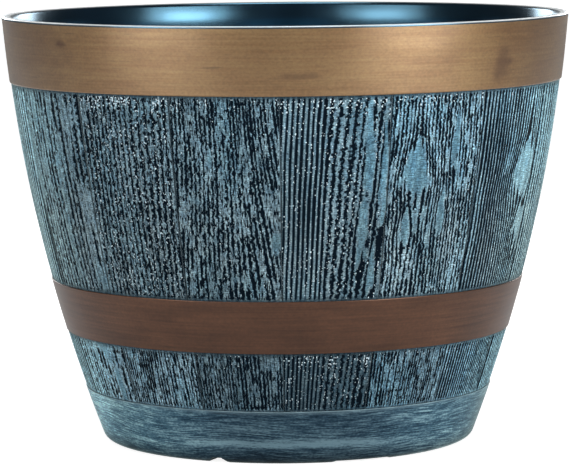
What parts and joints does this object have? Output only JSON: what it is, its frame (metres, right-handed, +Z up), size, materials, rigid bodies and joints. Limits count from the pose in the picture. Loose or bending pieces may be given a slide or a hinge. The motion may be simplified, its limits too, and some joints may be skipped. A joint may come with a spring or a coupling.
{
  "type": "half barrel planter",
  "caption": "Round tapered planter moulded like half a wooden barrel, with grained staves, copper-coloured hoops, a notched foot ring and lift-out drain plugs.",
  "frame": {"origin": "on the ground, on the barrel's axis", "axes": "+Z up along the barrel's axis, -Y towards the front that the picture shows, +X to the right in the picture"},
  "size_m": [0.3938, 0.3938, 0.296],
  "materials": {
    "shell": "black moulded resin with wood grain, its ridges dry-brushed in blue-grey; inside glossy blue-black",
    "hoop": "resin band with a satin copper metallic coat, brushed round the barrel",
    "plug": "matte black rubber"
  },
  "bodies": {
    "planter": {"barrel_shell": "shell", "upper_hoop": "hoop", "lower_hoop": "hoop"},
    "plug_centre": {"drain_plug_centre": "plug"},
    "plug_1": {"drain_plug_1": "plug"},
    "plug_2": {"drain_plug_2": "plug"},
    "plug_3": {"drain_plug_3": "plug"},
    "plug_4": {"drain_plug_4": "plug"}
  },
  "joints": [
    {"name": "plug_centre_lift", "type": "slide", "parent": "planter", "child": "plug_centre", "axis": [0, 0, 1], "range_m": [0, 0.3]},
    {"name": "plug_1_lift", "type": "slide", "parent": "planter", "child": "plug_1", "axis": [0, 0, 1], "range_m": [0, 0.3]},
    {"name": "plug_2_lift", "type": "slide", "parent": "planter", "child": "plug_2", "axis": [0, 0, 1], "range_m": [0, 0.3]},
    {"name": "plug_3_lift", "type": "slide", "parent": "planter", "child": "plug_3", "axis": [0, 0, 1], "range_m": [0, 0.3]},
    {"name": "plug_4_lift", "type": "slide", "parent": "planter", "child": "plug_4", "axis": [0, 0, 1], "range_m": [0, 0.3]}
  ]
}
